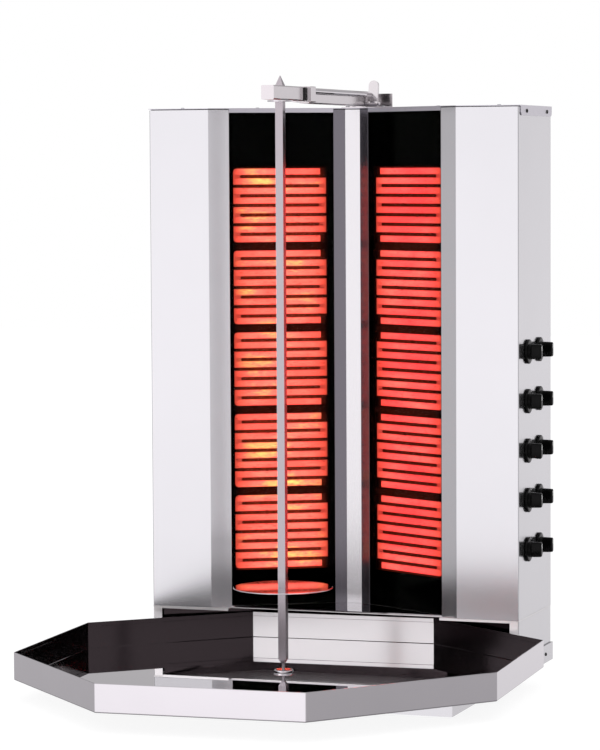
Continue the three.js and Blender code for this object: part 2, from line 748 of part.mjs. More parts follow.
// A knob about its own axis: x runs out of the wing, and the grip stands upright.
function knob() {
  const clearance = 0.5;
  const skirt = rod(SKIRT_RADIUS, SKIRT_THICKNESS, "x", 24);
  skirt.translate(clearance + SKIRT_THICKNESS / 2, 0, 0);
  const hub = rod(GRIP_HEIGHT / 2 - 2, 6, "x", 16).translate(clearance + SKIRT_THICKNESS + 1, 0, 0);
  const half = GRIP_HEIGHT / 2;
  const round = 5;
  const grip = new THREE.Shape();
  grip.moveTo(clearance + SKIRT_THICKNESS - 1, -half);
  grip.absarc(KNOB_DEPTH - round, -half + 2 + round, round, -Math.PI / 2, 0);
  grip.absarc(KNOB_DEPTH - round, half - 2 - round, round, 0, Math.PI / 2);
  grip.lineTo(clearance + SKIRT_THICKNESS - 1, half);
  // The outline is (x, z) and its thickness runs along y.
  const bar = extrude(grip, GRIP_WIDTH, 3).rotateX(Math.PI / 2).translate(0, GRIP_WIDTH / 2, 0);
  const start = -(SHEET + 3) - shaftReach;
  const length = clearance + 1 - start;
  const pin = rod(KNOB_SHAFT_RADIUS, length, "x", 10).translate(start + length / 2, 0, 0);
  return joined(skirt, hub, bar, pin);
}
const knobGeometry = knob();
for (const { row, column, y, z } of knobPlaces()) {
  const name = `knob_${column === 0 ? "front" : "rear"}_${row + 1}`;
  add(name, knobGeometry.clone(), black).position.set(halfWidth, y, z);
}

// ---------------------------------------------------------------- tray

const trayHalfWidth = halfWidth + TRAY_OVERHANG;
const traySideRear = CABINET_FRONT - TRAY_SIDE_SETBACK;
const trayCorners = [
  [-TRAY_FRONT_HALF, -TRAY_FRONT],
  [TRAY_FRONT_HALF, -TRAY_FRONT],
  [trayHalfWidth, -TRAY_SIDE_FRONT],
  [trayHalfWidth, traySideRear],
  [trayRearHalf, trayRear],
  [-trayRearHalf, trayRear],
  [-trayHalfWidth, traySideRear],
  [-trayHalfWidth, -TRAY_SIDE_FRONT],
];
const trayHoleRadius = SOCKET_RADIUS + 0.8;

// The corners of the tray's outline moved inwards by a distance.
function trayInset(distance) {
  return trayCorners.map((corner, i) => {
    const before = trayCorners.at(i - 1);
    const after = trayCorners[(i + 1) % trayCorners.length];
    const unit = (a, b) => {
      const length = Math.hypot(b[0] - a[0], b[1] - a[1]);
      return [(b[0] - a[0]) / length, (b[1] - a[1]) / length];
    };
    const [ux, uy] = unit(before, corner);
    const [vx, vy] = unit(corner, after);
    const nx = -(uy + vy) / 2;
    const ny = (ux + vx) / 2;
    const stretch = distance / (nx * nx + ny * ny);
    return [corner[0] + nx * stretch, corner[1] + ny * stretch];
  });
}

const trayFloor = trayBottom + SHEET;
const trayTop = trayBottom + TRAY_HEIGHT;
const trayOuter = alongZ(outline(trayCorners), trayBottom, trayTop);
const trayInner = alongZ(outline(trayInset(TRAY_WALL)), trayFloor, trayTop + 1);
const trayHole = rod(trayHoleRadius, 20, "z", 48).translate(0, 0, trayFloor);
const tray = add("drip_tray", cut(trayOuter, trayInner, trayHole), polished);
tray.rotation.z = trayTurn;

// ---------------------------------------------------------------- spit and disc

const pinBottom = pinSeat + GAP;
const pinTop = SOCKET_TOP + SPIT_PIN_LENGTH;
const squareBottom = pinTop + SPIT_TAPER;
const squareTop = headTop;
const crossPinRadius = 2.5;
const crossPinHeight = DISC_HEIGHT - GAP - crossPinRadius;
const crossHoleHeight = lidTop - 15;

function spitBar() {
  const half = SPIT_SIDE / 2;
  const diagonal = half * Math.SQRT2;
  const square = box(-half, half, -half, half, squareBottom, squareTop);
  const point = new THREE.CylinderGeometry(0.6, diagonal, SPIT_POINT, 4).rotateX(Math.PI / 2);
  point.rotateZ(Math.PI / 4).translate(0, 0, squareTop + SPIT_POINT / 2 - 0.01);
  const taper = new THREE.CylinderGeometry(diagonal, SPIT_PIN_RADIUS, SPIT_TAPER, 4);
  taper.rotateX(Math.PI / 2).rotateZ(Math.PI / 4);
  taper.translate(0, 0, squareBottom - SPIT_TAPER / 2 + 0.01);
  const pinLength = squareBottom - pinBottom;
  const pin = rod(SPIT_PIN_RADIUS, pinLength, "z").translate(0, 0, pinBottom + pinLength / 2);
  const holes = [crossPinHeight, crossHoleHeight].map((z) =>
    rod(crossPinRadius + GAP, SPIT_SIDE * 2, "x", 16).translate(0, 0, z),
  );
  return cut(joined(square, point, taper, pin), ...holes);
}
add("spit_bar", spitBar(), brushed);

const discHole = SPIT_SIDE / 2 + GAP;
const disc = cut(
  rod(DISC_RADIUS, DISC_THICKNESS, "z", 64).translate(0, 0, DISC_THICKNESS / 2),
  box(-discHole, discHole, -discHole, discHole, -1, DISC_THICKNESS + 1),
);
add("meat_disc", disc, polished).position.z = DISC_HEIGHT;
const crossPin = rod(crossPinRadius, SPIT_SIDE + 19, "x", 16);
add("disc_pin", crossPin, polished).position.set(2, 0, crossPinHeight);

// ---------------------------------------------------------------- top arm

const headHalf = spitBoreRadius + HEAD_WALL;
const spitBore = rod(spitBoreRadius, 80, "z", 32).translate(0, 0, headBottom);
const head = alongY(
  roundedRectangle(headBottom, headTop, -headHalf, headHalf, 2.5),
  -HEAD_FRONT,
  HEAD_REAR,
  3,
);
add("arm_head", cut(head, spitBore), brushed);

const guideTop = headBottom - GAP;
const guideRadius = spitBoreRadius + GUIDE_RIM;
const guideThickness = 2.5;
const guide = turned(
  [
    [spitBoreRadius, guideTop - guideThickness],
    [guideRadius, guideTop - guideThickness],
    [guideRadius, guideTop],
    [spitBoreRadius, guideTop],
    [spitBoreRadius, guideTop - guideThickness],
  ],
  32,
);
add("spit_guide", guide, polished);

const bufferFront = HEAD_REAR + GAP;
const bufferRear = bufferFront + BUFFER_LENGTH;
const bufferHalf = headHalf - 1.5;
const buffer = box(-bufferHalf, bufferHalf, bufferFront, bufferRear, headBottom + 1.5, headTop - 1.5);
add("head_buffer", buffer, black);

const clampFront = bufferRear + GAP;
const clampRear = clampFront + CLAMP_LENGTH;
const rodX = ARM_WIDTH / 2 + ROD_RADIUS + 4;
const rodZ = armBottom + ROD_HEIGHT;
const rodStart = clampRear - 16;
const clampLeft = headHalf + CLAMP_REACH;
const clampRight = rodX + ROD_RADIUS + 1;
const clampShape = roundedRectangle(headBottom - 2, headTop + 1, -clampLeft, clampRight, 1.5);
const rodHole = rod(ROD_RADIUS + GAP, 60, "y").translate(rodX, rodStart - GAP + 30, rodZ);
add("arm_clamp", cut(alongY(clampShape, clampFront, clampRear, 2), rodHole), brushed);

const pivotY = cabinetBack - ARM_PIVOT_SETBACK;
const pivotZ = armBottom + 14;
const armFront = clampRear + GAP;
const armRear = pivotY + 3;
const lugHalf = 4;
const slotFront = pivotY - 21;
const armTube = alongY(
  roundedRectangle(armBottom, armBottom + ARM_HEIGHT, -ARM_WIDTH / 2, ARM_WIDTH / 2, 2),
  armFront,
  armRear,
  2,
);
const armSlot = box(
  -lugHalf - 0.5,
  lugHalf + 0.5,
  slotFront,
  armRear + 5,
  armBottom - 5,
  armBottom + ARM_HEIGHT + 5,
);
const pinHole = rod(ARM_PIN_RADIUS + GAP, 60, "x").translate(0, pivotY, pivotZ);
// The stud on the arm's side carries the lock lever.
const leverZ = armBottom + 5;
const leverY = slotFront - 6;
const leverX = ARM_WIDTH / 2 + 4;
const studRadius = 3;
const studLength = LEVER_WIDTH + 12;
const stud = rod(studRadius, studLength, "x", 16);
stud.translate(ARM_WIDTH / 2 - 4 + studLength / 2, leverY, leverZ);
add("arm_bar", cut(joined(armTube, stud), armSlot, pinHole), brushed);
add("arm_pin", rod(ARM_PIN_RADIUS, 26, "x"), polished).position.set(0, pivotY, pivotZ);

const footBottom = lidTop + GAP;
const footTop = footBottom + 3;
const bracketBack = cabinetBack + 6;
const bracketTop = lidTop + BRACKET_HEIGHT;
const bracket = cut(
  joined(
    box(-BRACKET_HALF_WIDTH, BRACKET_HALF_WIDTH, pivotY - 8, bracketBack, footBottom, footTop),
    box(-BRACKET_HALF_WIDTH, BRACKET_HALF_WIDTH, bracketBack - 3, bracketBack, footBottom, bracketTop),
    box(-lugHalf, lugHalf, pivotY - 13, bracketBack - 1, footTop - 0.5, pivotZ + 11),
  ),
  pinHole,
);
add("arm_bracket", bracket, brushed);

// The lever stands on its stud beside the arm and leans back a little.
function lever() {
  const half = LEVER_WIDTH / 2;
  const blade = new THREE.Shape();
  blade.moveTo(-half, -3);
  blade.lineTo(half, -3);
  blade.absarc(0, LEVER_HEIGHT - half - 3, half, 0, Math.PI);
  // The outline is (x, z) and its thickness runs along y.
  const body = extrude(blade, LEVER_THICKNESS, 8).rotateX(Math.PI / 2);
  body.translate(0, LEVER_THICKNESS / 2, 0);
  const knuckle = rod(5.5, LEVER_WIDTH, "x");
  const bore = rod(studRadius + GAP, LEVER_WIDTH * 2, "x", 16);
  return cut(joined(body, knuckle), bore);
}
const leverMesh = add("lock_lever", lever(), brushed);
leverMesh.position.set(leverX + LEVER_WIDTH / 2, leverY, leverZ);
leverMesh.rotation.x = -THREE.MathUtils.degToRad(LEVER_TILT);

// The rod stops just short of the leaning lever's front face.
const lean = THREE.MathUtils.degToRad(LEVER_TILT);
const rodEnd =
  leverY + (rodZ - leverZ - ROD_RADIUS) * Math.tan(lean) - LEVER_THICKNESS / 2 / Math.cos(lean) - GAP;
const rodLength = rodEnd - rodStart;
add("lock_rod", rod(ROD_RADIUS, rodLength, "y"), polished).position.set(
  rodX,
  rodStart + rodLength / 2,
  rodZ,
);

export default model;
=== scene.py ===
"""Looks of the vertical rotisserie oven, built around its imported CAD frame. Metres, +Z up."""
import math

import bmesh
import bpy
from mathutils import Matrix, Vector

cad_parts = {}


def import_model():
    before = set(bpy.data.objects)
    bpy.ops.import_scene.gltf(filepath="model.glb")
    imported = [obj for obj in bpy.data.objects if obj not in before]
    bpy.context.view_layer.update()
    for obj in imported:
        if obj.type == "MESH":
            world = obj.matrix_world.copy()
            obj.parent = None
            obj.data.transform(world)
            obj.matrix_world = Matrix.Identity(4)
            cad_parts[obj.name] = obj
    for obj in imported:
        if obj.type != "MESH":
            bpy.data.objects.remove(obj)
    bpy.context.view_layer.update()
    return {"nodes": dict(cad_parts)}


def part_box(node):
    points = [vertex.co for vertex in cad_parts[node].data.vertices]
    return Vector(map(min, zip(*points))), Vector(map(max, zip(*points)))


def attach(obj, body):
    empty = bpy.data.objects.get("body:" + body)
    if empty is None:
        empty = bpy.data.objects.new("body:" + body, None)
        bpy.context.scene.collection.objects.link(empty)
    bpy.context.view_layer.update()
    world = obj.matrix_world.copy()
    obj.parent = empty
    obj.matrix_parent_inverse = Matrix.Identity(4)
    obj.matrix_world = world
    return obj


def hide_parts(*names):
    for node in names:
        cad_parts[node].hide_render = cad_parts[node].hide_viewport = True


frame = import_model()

NODES = frame["nodes"]
MM = 0.001
GLASS_TINT = 0.42  # light kept at each face of the glass
GLASS_GAIN = 5.7  # what the glow is raised by, so that it shows through

# ------------------------------------------------------------------ camera

CAMERA_AT = Vector((2.0035, -5.5959, 0.9991))
CAMERA_TURN = math.radians(19.367)  # to the left of +Y
CAMERA_TILT = math.radians(3.828)  # downwards
CAMERA_ROLL = math.radians(-0.306)
CAMERA_LENS = 151.62
SENSOR = 36.0


def make_camera():
    turn, tilt, roll = CAMERA_TURN, CAMERA_TILT, CAMERA_ROLL
    forward = Vector(
        (-math.sin(turn) * math.cos(tilt), math.cos(turn) * math.cos(tilt), -math.sin(tilt))
    )
    right = Vector((math.cos(turn), math.sin(turn), 0))
    up = right.cross(forward)
    camera_right = math.cos(roll) * right + math.sin(roll) * up
    camera_up = -math.sin(roll) * right + math.cos(roll) * up
    data = bpy.data.cameras.new("camera")
    data.lens = CAMERA_LENS
    data.sensor_width = SENSOR
    camera = bpy.data.objects.new("camera", data)
    bpy.context.scene.collection.objects.link(camera)
    rotation = Matrix((camera_right, camera_up, -forward)).transposed()
    camera.matrix_world = Matrix.Translation(CAMERA_AT) @ rotation.to_4x4()
    data.clip_end = 100
    bpy.context.scene.camera = camera


make_camera()
bpy.context.scene.view_settings.view_transform = "Standard"

# ------------------------------------------------------------------ node helpers


class Shader:
    """A material with one Principled shader and short calls that add nodes to it."""

    def __init__(self, name, **values):
        self.material = bpy.data.materials.new(name)
        self.material.use_nodes = True
        self.tree = self.material.node_tree
        self.shader = self.tree.nodes["Principled BSDF"]
        for socket, value in values.items():
            self.set(socket.replace("_", " "), value)

    def set(self, socket, value):
        if isinstance(value, bpy.types.NodeSocket):
            self.tree.links.new(value, self.shader.inputs[socket])
        else:
            self.shader.inputs[socket].default_value = value

    def node(self, kind, inputs=None, **settings):
        made = self.tree.nodes.new("ShaderNode" + kind)
        for name, value in settings.items():
            setattr(made, name, value)
        for key, value in (inputs or {}).items():
            if isinstance(value, bpy.types.NodeSocket):
                self.tree.links.new(value, made.inputs[key])
            else:
                made.inputs[key].default_value = value
        return made

    def place(self, stretch=(1, 1, 1)):
        """Object coordinates, stretched."""
        coordinates = self.node("TexCoord").outputs["Object"]
        mapping = self.node("Mapping", {"Vector": coordinates, "Scale": stretch})
        return mapping.outputs["Vector"]

    def noise(self, scale, stretch=(1, 1, 1), detail=3.0, rough=0.55):
        inputs = {"Vector": self.place(stretch), "Scale": scale, "Detail": detail, "Roughness": rough}
        return self.node("TexNoise", inputs).outputs["Fac"]

    def ramp(self, value, stops):
        made = self.node("ValToRGB", {"Fac": value})
        elements = made.color_ramp.elements
        while len(elements) < len(stops):
            elements.new(0.5)
        for element, (position, colour) in zip(elements, stops):
            element.position = position
            element.color = colour if len(colour) == 4 else (*colour, 1)
        return made.outputs["Color"]

    def span(self, value, low, high):
        """A 0 to 1 value spread between low and high."""
        inputs = {"Value": value, "To Min": low, "To Max": high}
        return self.node("MapRange", inputs).outputs["Result"]

    def math(self, operation, first, second=0.5):
        made = self.node("Math", operation=operation)
        for socket, value in zip(made.inputs, (first, second)):
            if isinstance(value, bpy.types.NodeSocket):
                self.tree.links.new(value, socket)
            else:
                socket.default_value = value
        return made.outputs["Value"]

    def bump(self, height, distance, strength=1.0):
        inputs = {"Height": height, "Distance": distance, "Strength": strength}
        self.set("Normal", self.node("Bump", inputs).outputs["Normal"])


def steel(
    name, colour, roughness, grain, spread=0.02, bump=4e-7, smudge=0.035, metallic=1.0
):
    """Stainless sheet: fine brushing along one direction and soft handling smudges."""
    shader = Shader(name, Metallic=metallic)
    brushing = shader.noise(1400, grain, detail=2)
    smudges = shader.noise(5, detail=4)
    tone = shader.ramp(smudges, [(0.3, [c * (1 - smudge) for c in colour]), (0.7, colour)])
    shader.set("Base Color", tone)
    rough = shader.span(brushing, roughness - spread, roughness + spread)
    touched = shader.span(smudges, -0.1 * roughness, 0.15 * roughness)
    shader.set("Roughness", shader.math("ADD", rough, touched))
    if bump:
        shader.bump(brushing, bump)
    return shader.material


UPRIGHT_GRAIN = (1, 1, 0.02)
LEVEL_GRAIN = (0.02, 1, 1)
DEEP_GRAIN = (1, 0.02, 1)

wing_steel = steel("wing_steel", (0.55, 0.552, 0.565), 0.19, UPRIGHT_GRAIN)
sheet_steel = steel("sheet_steel", (0.60, 0.595, 0.605), 0.26, UPRIGHT_GRAIN)
# Darker copy of the post's steel: painted shade for the centre post's side facets.
painted_shade_facet_steel = steel("painted_shade_facet_steel", (0.17, 0.16, 0.18), 0.24, UPRIGHT_GRAIN)
lid_steel = steel("lid_steel", (0.50, 0.49, 0.53), 0.28, LEVEL_GRAIN)
arm_steel = steel("arm_steel", (0.56, 0.535, 0.545), 0.17, DEEP_GRAIN)
spit_steel = steel("spit_steel", (0.37, 0.34, 0.36), 0.25, UPRIGHT_GRAIN)
tray_steel = steel("tray_steel", (0.60, 0.585, 0.605), 0.06, LEVEL_GRAIN, spread=0.012, bump=1e-7)
floor_mirror = steel(
    "floor_mirror", (0.82, 0.81, 0.82), 0.012, LEVEL_GRAIN, spread=0.004, bump=0, smudge=0.02
)
# Steel far whiter than real steel, which paints light: it brightens the deck, the base sides' front
# strips and the tray's inner front and rear walls.
satin_painted_light_steel = steel("satin_painted_light_steel", (0.93, 0.915, 0.915), 0.17, LEVEL_GRAIN, metallic=0.7)
# Near-black steel, painted shade: it darkens the splash wall and the tray's inner side walls as if
# they lay in shadow.
painted_shade_steel = steel("painted_shade_steel", (0.065, 0.052, 0.056), 0.13, LEVEL_GRAIN, spread=0.012, bump=1e-7)
mirror_steel = steel("mirror_steel", (0.62, 0.60, 0.62), 0.05, LEVEL_GRAIN, spread=0.02, bump=1e-7)
zinc = steel("zinc", (0.40, 0.41, 0.43), 0.42, (1, 1, 1), spread=0.1, bump=1e-5, smudge=0.2)


def plastic(name, colour, roughness, grain=900, bump=2e-5, shine=0.5):
    shader = Shader(name, Base_Color=(*colour, 1), Specular_IOR_Level=shine)
    speckle = shader.noise(grain, detail=2)
    shader.set("Roughness", shader.span(speckle, roughness * 0.85, roughness * 1.2))
    shader.bump(speckle, bump)
    return shader.material


knob_black = plastic("knob_black", (0.002, 0.002, 0.002), 0.16, 700, 6e-6, shine=0.08)
# Black with no shine: painted shade for the frames that darken the view through the glass.
painted_shade_black = plastic("painted_shade_black", (0.001, 0.001, 0.001), 0.9, shine=0.0)
cast_black = plastic("cast_black", (0.012, 0.012, 0.012), 0.5)
rubber = plastic("rubber", (0.003, 0.003, 0.003), 0.75, 500, 4e-5)
cream = plastic("cream", (0.62, 0.57, 0.46), 0.5)
motor_paint = plastic("motor_paint", (0.06, 0.09, 0.13), 0.4, 400)
white_mark = plastic("white_mark", (0.8, 0.8, 0.78), 0.5)


def black_glass():
    """Glass so dark that only the glowing ribbons show through it."""
    shader = Shader("black_glass", IOR=1.06, Transmission_Weight=1.0)
    smears = shader.noise(3, (1, 1, 0.4), detail=3)
    tints = [(0.3, (GLASS_TINT - 0.02,) * 3), (0.8, (GLASS_TINT + 0.01,) * 3)]
    shader.set("Base Color", shader.ramp(smears, tints))
    shader.set("Roughness", shader.span(smears, 0.012, 0.035))
    return shader.material


# ------------------------------------------------------------------ mesh helpers

SMOOTH_ANGLE = 35  # degrees between faces that are shaded as one
FLAT_AREA = 1e-4  # square metres; a larger face of a pressed sheet is flat


def new_piece(name, mesh, material, body, replaced=(), smooth=SMOOTH_ANGLE):
    piece = bpy.data.objects.new(name, mesh)
    bpy.context.scene.collection.objects.link(piece)
    mesh.materials.clear()
    mesh.materials.append(material)
    mesh.polygons.foreach_set("use_smooth", [True] * len(mesh.polygons))
    mesh.set_sharp_from_angle(angle=math.radians(smooth))
    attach(piece, body)
    if replaced:
        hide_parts(*replaced)
    return piece


def finished(bm, name):
    bmesh.ops.recalc_face_normals(bm, faces=bm.faces)
    mesh = bpy.data.meshes.new(name)
    bm.to_mesh(mesh)
    bm.free()
    return mesh


def bevel(piece, width, segments=2, angle=30):
    """Rounds a piece's edges and keeps the shading of its large faces flat."""
    modifier = piece.modifiers.new("edges", "BEVEL")
    modifier.width = width
    modifier.segments = segments
    modifier.limit_method = "ANGLE"
    modifier.angle_limit = math.radians(angle)
    normals = piece.modifiers.new("normals", "WEIGHTED_NORMAL")
    normals.keep_sharp = True


def circle(radius, z, segments):
    angles = [math.tau * i / segments for i in range(segments)]
    return [(radius * math.cos(a), radius * math.sin(a), z) for a in angles]


def new_loops(bm, rings):
    return [[bm.verts.new(p) for p in ring] for ring in rings]


def join_loops(bm, loops):
    """Faces between neighbouring loops of equal length."""
    for low, high in zip(loops, loops[1:]):
        for i in range(len(low)):
            j = (i + 1) % len(low)
            bm.faces.new((low[i], low[j], high[j], high[i]))


def fill_between(bm, outer, inner):
    """Faces between a closed loop of edges and a hole inside it."""
    edges = []
    for loop in (outer, inner):
        for i, vertex in enumerate(loop):
            edges.append(bm.edges.get((vertex, loop[(i + 1) % len(loop)])))
    bmesh.ops.triangle_fill(bm, use_beauty=True, use_dissolve=False, edges=edges)


def rings_mesh(name, rings, close=True):
    """A closed body from loops of equal length, joined in order and round or capped."""
    bm = bmesh.new()
    loops = new_loops(bm, rings)
    join_loops(bm, loops + loops[:1] if close else loops)
    if not close:
        bm.faces.new(loops[0])
        bm.faces.new(loops[-1])
    return finished(bm, name)


def turned_mesh(name, profile, segments=64):
    """A body turned about Z from (radius, height) pairs; ends on the axis are closed."""
    bm = bmesh.new()
    rings = []
    for radius, z in profile:
        if radius < 1e-7:
            rings.append([bm.verts.new((0, 0, z))])
            continue
        rings.append([bm.verts.new(p) for p in circle(radius, z, segments)])
    for low, high in zip(rings, rings[1:]):
        for i in range(segments):
            j = (i + 1) % segments
            corners = [low[i % len(low)], low[j % len(low)], high[j % len(high)], high[i % len(high)]]
            unique = list(dict.fromkeys(corners))
            if len(unique) > 2:
                bm.faces.new(unique)
    return finished(bm, name)


def rounded_path(points, radius, steps=4):
    """The path's corners turned into arcs: a list of (point, left normal) pairs."""
    points = [Vector(p) for p in points]
    out = []

    def left(direction):
        return Vector((-direction.y, direction.x))

    first = (points[1] - points[0]).normalized()
    out.append((points[0], left(first)))
    for before, corner, after in zip(points, points[1:], points[2:]):
        arriving = (corner - before).normalized()
        leaving = (after - corner).normalized()
        turn = arriving.angle_signed(leaving)
        if abs(turn) < 1e-4:
            continue
        reach = radius * math.tan(abs(turn) / 2)
        start = corner - arriving * reach
        side = -math.copysign(1, turn)
        centre = start + left(arriving) * radius * side
        for i in range(steps + 1):
            spoke = Matrix.Rotation(-turn * i / steps, 2) @ (start - centre)
            normal = -spoke.normalized() * side
            out.append((centre + spoke, normal))
    last = (points[-1] - points[-2]).normalized()
    out.append((points[-1], left(last)))
    return out


def folded_sheet(name, path, thickness, radius, z0, z1):
    """A bent sheet standing on edge. The path is its outer face; its thickness is to the left."""
    rounded = rounded_path(path, radius)
    outer = [p for p, _ in rounded]
    inner = [p + n * thickness for p, n in reversed(rounded)]
    outline = outer + inner
    rings = [[(p.x, p.y, z) for p in outline] for z in (z0, z1)]
    return rings_mesh(name, rings, close=False)


# ------------------------------------------------------------------ sizes from the frame


wing_low, wing_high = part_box("wing_right")
HALF = wing_high.x
FRONT = wing_low.y
BACK = wing_high.y
WING_BOTTOM, WING_TOP = wing_low.z, wing_high.z
SHEET = 1.5 * MM
V_ANGLE = math.radians(30)
FACE_WIDTH = 126 * MM  # a wing's front face
TRIM_WIDTH = 42 * MM
POST_HALF = 15.5 * MM  # half of the post's flat front
POST_FACET = 24 * MM
ELEMENT_POST_MARGIN = 14 * MM
ELEMENT_TRIM_MARGIN = 10 * MM
BARS = 8  # in each ribbon
FACE_INNER = HALF - FACE_WIDTH
APEX_Y = FRONT + FACE_INNER * math.tan(V_ANGLE)


def panel_point(sign, distance):
    return (sign * distance * math.cos(V_ANGLE), APEX_Y - distance * math.sin(V_ANGLE))


TRIM_OUTER = FACE_INNER / math.cos(V_ANGLE)
TRIM_INNER = TRIM_OUTER - TRIM_WIDTH
POST_FLAT = POST_HALF / math.cos(V_ANGLE)
POST_EDGE = POST_FLAT + POST_FACET
ELEMENT_NEAR = POST_EDGE + ELEMENT_POST_MARGIN  # distances along a panel, from the V's apex
ELEMENT_FAR = TRIM_INNER - ELEMENT_TRIM_MARGIN
ELEMENT_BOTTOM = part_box("element_left_1")[0].z
ELEMENT_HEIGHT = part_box("element_left_1")[1].z - ELEMENT_BOTTOM
ELEMENT_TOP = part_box("element_left_5")[1].z
ELEMENT_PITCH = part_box("element_left_2")[0].z - ELEMENT_BOTTOM
BAR_WIDTH = 13 * MM
BAR_PITCH = (ELEMENT_HEIGHT - BAR_WIDTH) / (BARS - 1)
LID_SEAM = 1.3 * MM  # dark line between the lid and the sheets under it


class PanelPlace:
    """Where a point lies on a panel, as shader values."""

    def __init__(self, shader, sign):
        coordinates = shader.node("TexCoord").outputs["Object"]
        x, y, z = shader.node("SeparateXYZ", {0: coordinates}).outputs
        across = shader.math("MULTIPLY", x, sign * math.cos(V_ANGLE))
        depth = shader.math("MULTIPLY", shader.math("SUBTRACT", APEX_Y, y), math.sin(V_ANGLE))
        distance = shader.math("ADD", across, depth)
        width = ELEMENT_FAR - ELEMENT_NEAR
        offset = shader.math("SUBTRACT", distance, (ELEMENT_NEAR + ELEMENT_FAR) / 2)
        from_middle = shader.math("ABSOLUTE", shader.math("DIVIDE", offset, width / 2))
        # 1 over most of a bar's length, and 0 at its ends.
        self.middle = shader.math("SUBTRACT", 1.0, shader.math("POWER", from_middle, 5.0))
        height = shader.math("SUBTRACT", z, ELEMENT_BOTTOM)
        self.in_zone = shader.math("MODULO", height, ELEMENT_PITCH)
        in_bar = shader.math("DIVIDE", shader.math("MODULO", self.in_zone, BAR_PITCH), BAR_WIDTH)
        # 0 along a bar's centre line, and 1 at its edges.
        centred = shader.math("SUBTRACT", in_bar, 0.5)
        off_centre = shader.math("MULTIPLY", shader.math("ABSOLUTE", centred), 2.0)
        self.edge = shader.math("MINIMUM", off_centre, 1.0)


def insulation(sign):
    """Dark fibre board with painted light: the red glow that the ribbons cast on its front is painted
    as emission between the bars, and fades out at their ends.
    """
    name = "insulation_left" if sign < 0 else "insulation_right"
    shader = Shader(name, Roughness=0.95, Specular_IOR_Level=0.0)
    fibres = shader.noise(120, detail=5)
    shades = [(0.3, (0.012, 0.006, 0.005)), (0.7, (0.03, 0.012, 0.01))]
    shader.set("Base Color", shader.ramp(fibres, shades))
    shader.bump(fibres, 3e-4)
    place = PanelPlace(shader, sign)
    # Painted light: emission that stands in for the ribbons' red light on the board, strongest behind
    # the rows of bars.
    behind = shader.math("LESS_THAN", place.in_zone, ELEMENT_HEIGHT)
    towards_glass = (-sign * math.sin(V_ANGLE), -math.cos(V_ANGLE), 0)
    inputs = {0: shader.node("TexCoord").outputs["Normal"], 1: towards_glass}
    facing = shader.node("VectorMath", inputs, operation="DOT_PRODUCT").outputs["Value"]
    front = shader.math("GREATER_THAN", facing, 0.5)
    level = shader.math("ADD", shader.math("MULTIPLY", behind, 0.13 if sign < 0 else 0.05), 0.03)
    fade = shader.math("MAXIMUM", place.middle, 0.0)
    glow = shader.math("MULTIPLY", shader.math("MULTIPLY", level, fade), fibres)
    glow = shader.math("MULTIPLY", glow, front)
    shader.set("Emission Color", (1.0, 0.095, 0.035, 1))
    shader.set("Emission Strength", shader.math("MULTIPLY", glow, GLASS_GAIN * 0.8))
    return shader.material


glass = black_glass()
fibres = {sign: insulation(sign) for sign in (-1, 1)}

# ------------------------------------------------------------------ wings and post

for label, sign in (("left", -1), ("right", 1)):
    path = [
        panel_point(sign, TRIM_INNER),
        panel_point(sign, TRIM_OUTER),
        (sign * HALF, FRONT),
        (sign * HALF, BACK),
    ]
    if sign < 0:
        path.reverse()
    name = f"wing_{label}_skin"
    mesh = folded_sheet(name, path, SHEET, 2.2 * MM, WING_BOTTOM, WING_TOP - LID_SEAM)
    wing = new_piece(name, mesh, wing_steel, "cabinet", [f"wing_{label}"])
    bevel(wing, 0.35 * MM, 2, 60)

BASE_STRIP = 19 * MM  # front and rear folds of the base's sides
base_low, base_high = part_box("base_side_right")
for label, sign in (("left", -1), ("right", 1)):
    path = [
        (sign * (HALF - BASE_STRIP), base_low.y),
        (sign * HALF, base_low.y),
        (sign * HALF, base_high.y),
        (sign * (HALF - BASE_STRIP), base_high.y),
    ]
    if sign < 0:
        path.reverse()
    name = f"base_side_{label}_skin"
    mesh = folded_sheet(name, path, SHEET, 2.2 * MM, base_low.z, base_high.z)
    side = new_piece(name, mesh, wing_steel, "cabinet", [f"base_side_{label}"])
    # Painted light: the front strips get the whitened steel, brighter than the sides of the same
    # sheet.
    mesh.materials.append(satin_painted_light_steel)
    for face in mesh.polygons:
        if face.normal.y < -0.9:
            face.material_index = 1
    bevel(side, 0.35 * MM, 2, 60)

post_path = [
    panel_point(-1, POST_EDGE),
    panel_point(-1, POST_FLAT),
    panel_point(1, POST_FLAT),
    panel_point(1, POST_EDGE),
]
post_top = WING_TOP - LID_SEAM
post_mesh = folded_sheet("post_skin", post_path, SHEET, 2 * MM, WING_BOTTOM, post_top)
post = new_piece("post_skin", post_mesh, sheet_steel, "cabinet", ["centre_post"])
bevel(post, 0.35 * MM, 2, 60)
# Painted shade: the post's side facets get the darker steel, as if they lay in shadow.
post_mesh.materials.append(painted_shade_facet_steel)
for face in post_mesh.polygons:
    if abs(face.normal.x) > 0.3 and abs(face.center.x) > POST_FLAT * math.cos(V_ANGLE):
        face.material_index = 1

# ------------------------------------------------------------------ carried-over CAD nodes

